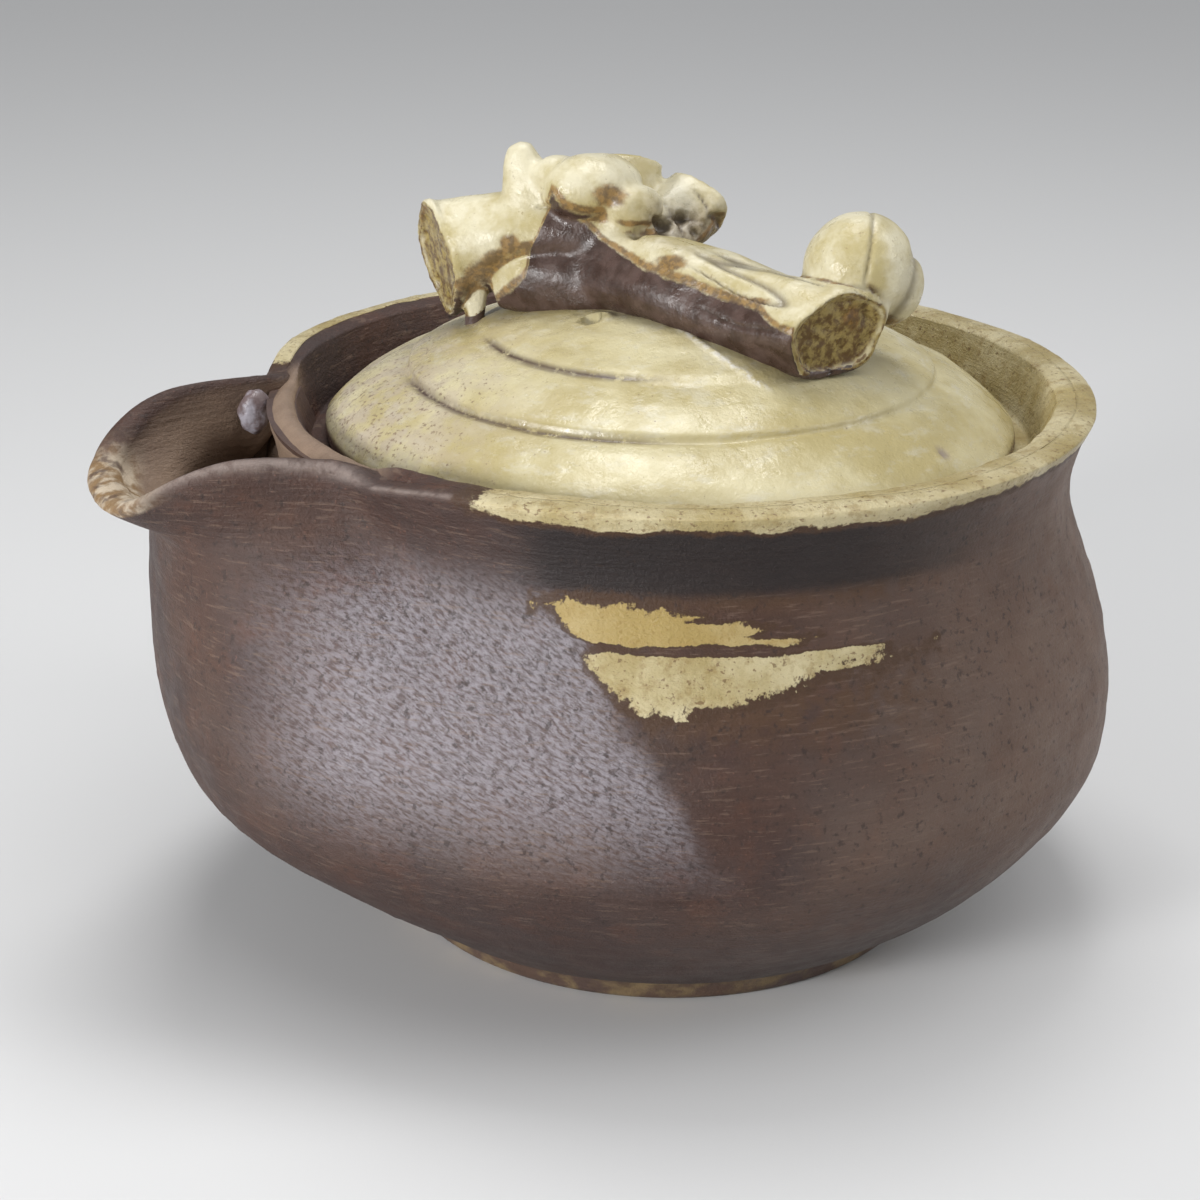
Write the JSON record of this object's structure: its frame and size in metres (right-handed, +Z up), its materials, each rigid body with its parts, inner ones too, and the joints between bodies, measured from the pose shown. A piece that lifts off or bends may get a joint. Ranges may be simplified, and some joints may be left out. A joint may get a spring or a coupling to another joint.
{
  "type": "hohin teapot",
  "caption": "Handle-less wood-fired stoneware teapot with a wide beaked spout, pierced strainer wall, ledge-seated lid and a branch-shaped knob.",
  "frame": {"origin": "centre of the foot ring's bottom face, on the bowl's axis", "axes": "+Z up along the bowl's axis, the spout points to -X, +Y completes the right-handed frame"},
  "size_m": [0.1186, 0.1046, 0.0891],
  "materials": {
    "body_clay": "unglazed dark brown stoneware with a soft sheen and an olive ash run on the shoulder",
    "foot_clay": "trimmed foot, dark brown with a tan band",
    "strainer_clay": "bare dark brown clay",
    "wad_clay": "pale grey-brown clay",
    "lid_glaze": "glossy olive-yellow natural ash glaze with brown specks",
    "branch_glaze": "olive-cream ash glaze over dark brown clay, brown on the underside",
    "bud_glaze": "thick pale olive ash glaze"
  },
  "bodies": {
    "pot": {"bowl": "body_clay", "foot_ring": "foot_clay", "spout": "body_clay", "strainer_wall": "strainer_clay", "lute_wad_near": "wad_clay", "lute_wad_far": "wad_clay"},
    "lid": {"lid": "lid_glaze", "branch_log": "branch_glaze", "branch_arm": "branch_glaze", "prop_peg": "branch_glaze", "crest_lump": "branch_glaze", "top_stub": "branch_glaze", "back_petal": "branch_glaze", "back_stub": "branch_glaze", "bud": "bud_glaze", "bud_lobe": "bud_glaze"}
  },
  "joints": [
    {"name": "lid_lift", "type": "slide", "parent": "pot", "child": "lid", "axis": [0, 0, 1], "range_m": [0, 0.06]}
  ]
}
